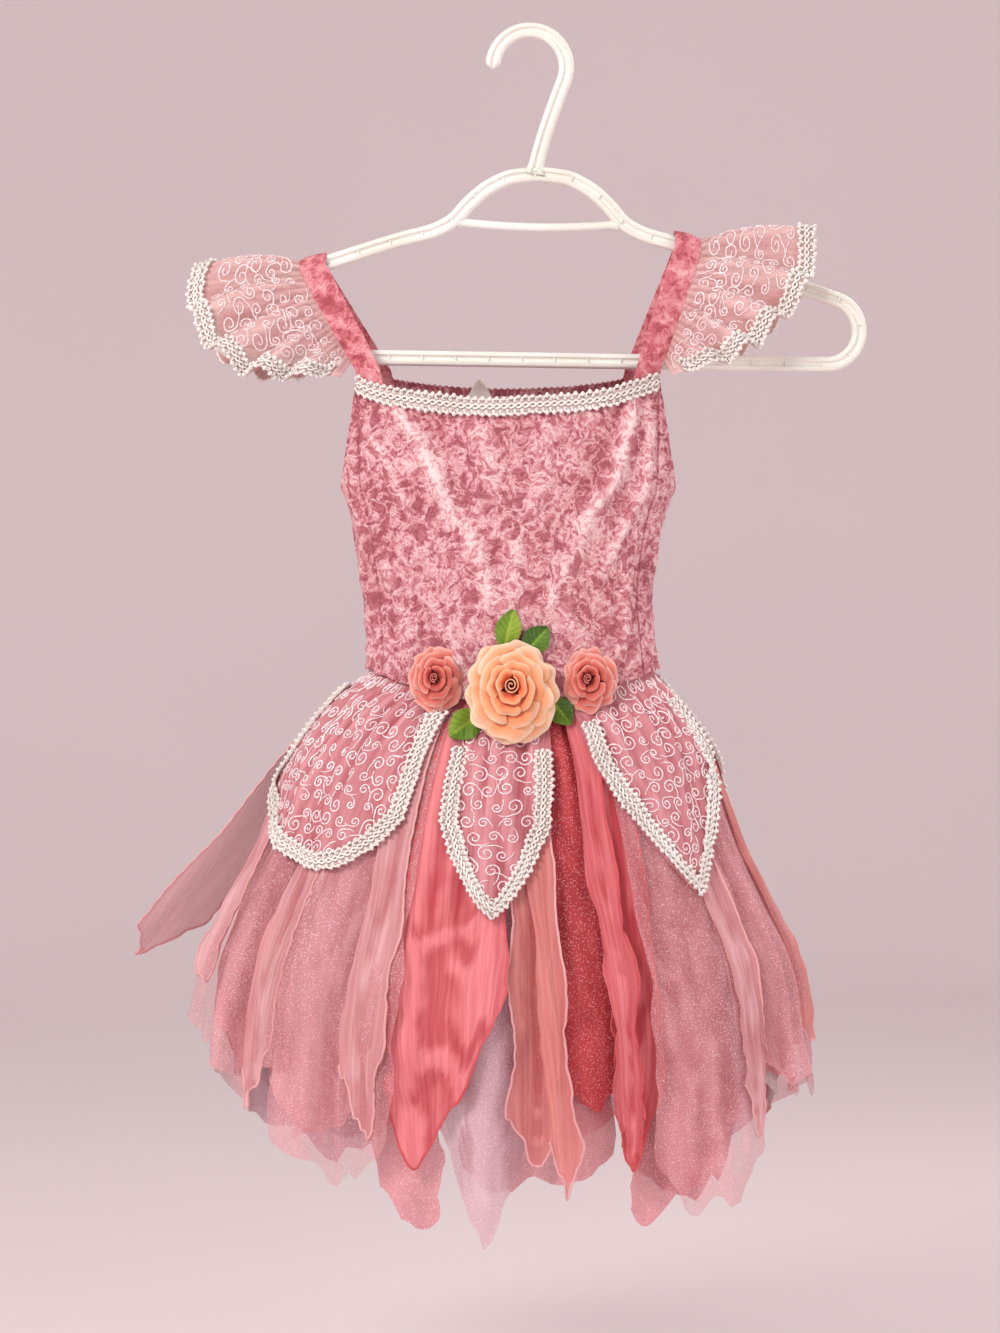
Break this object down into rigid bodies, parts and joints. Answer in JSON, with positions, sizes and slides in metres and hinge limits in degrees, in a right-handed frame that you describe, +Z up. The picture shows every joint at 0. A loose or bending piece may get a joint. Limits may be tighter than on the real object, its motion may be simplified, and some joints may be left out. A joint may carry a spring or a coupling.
{
  "type": "child's fairy costume on a clothes hanger",
  "caption": "Child's fairy dress on a plastic hanger: crushed velvet bodice, ruffled sheer sleeves, braid-edged petals and foam roses over a ragged skirt of sheer layers.",
  "frame": {"origin": "inner top of the hanger's hook, where it sits on a rail, in the middle of the hanger's thickness", "axes": "+Z up, +X to the right of a viewer who faces the costume, the costume's front faces -Y"},
  "size_m": [0.4612, 0.1928, 0.7468],
  "materials": {
    "hanger": "white moulded plastic, slightly yellowed",
    "velvet": "crushed velvet with a pale sheen where the pile lies over",
    "strap": "deep pink velvet",
    "print": "sheer pink organza with a raised white glitter scroll print",
    "braid": "cream looped gimp braid",
    "peach": "matt foam flower",
    "rose": "matt foam flower",
    "leaf": "printed cloth leaf",
    "organza_pale": "sheer organza with a rolled edge",
    "organza_coral": "sheer organza with a rolled edge",
    "organza_peach": "sheer organza with a rolled edge",
    "net_rose": "glitter net",
    "net_red": "glitter net",
    "net_pale": "glitter net",
    "label": "woven satin, plain"
  },
  "bodies": {
    "root": {"bodice_back": "velvet", "bodice_front": "velvet", "bodice_side_left": "velvet", "bodice_side_right": "velvet", "braid_back": "braid", "braid_back_left": "braid", "braid_back_right": "braid", "braid_front": "braid", "braid_left": "braid", "braid_neckline": "braid", "braid_right": "braid", "braid_sleeve_left": "braid", "braid_sleeve_right": "braid", "hanger": "hanger", "inner_back_left": "net_pale", "inner_back_right": "net_pale", "inner_front": "net_pale", "inner_front_left": "net_pale", "inner_front_right": "net_pale", "inner_left": "net_pale", "inner_right": "net_pale", "label_flat": "label", "label_folded": "label", "leaf_low_left": "leaf", "leaf_low_right": "leaf", "leaf_top_left": "leaf", "leaf_top_right": "leaf", "net_back": "net_rose", "net_back_left": "net_rose", "net_back_right": "net_rose", "net_coral_left": "net_red", "net_front_left": "net_rose", "net_lavender": "net_pale", "net_pink_right": "net_rose", "net_red": "net_red", "net_right": "net_rose", "net_rose_left": "net_rose", "organza_back": "organza_pale", "organza_back_left": "organza_pale", "organza_back_right": "organza_pale", "organza_coral": "organza_coral", "organza_deep_coral": "organza_coral", "organza_pale": "organza_pale", "organza_peach": "organza_peach", "organza_right": "organza_pale", "organza_wing": "organza_pale", "petal_back": "print", "petal_back_left": "print", "petal_back_right": "print", "petal_front": "print", "petal_left": "print", "petal_right": "print", "rose_coral_left": "rose", "rose_coral_right": "rose", "rose_peach": "peach", "sleeve_left": "print", "sleeve_right": "print", "strap_left": "strap", "strap_right": "strap"}
  },
  "joints": []
}
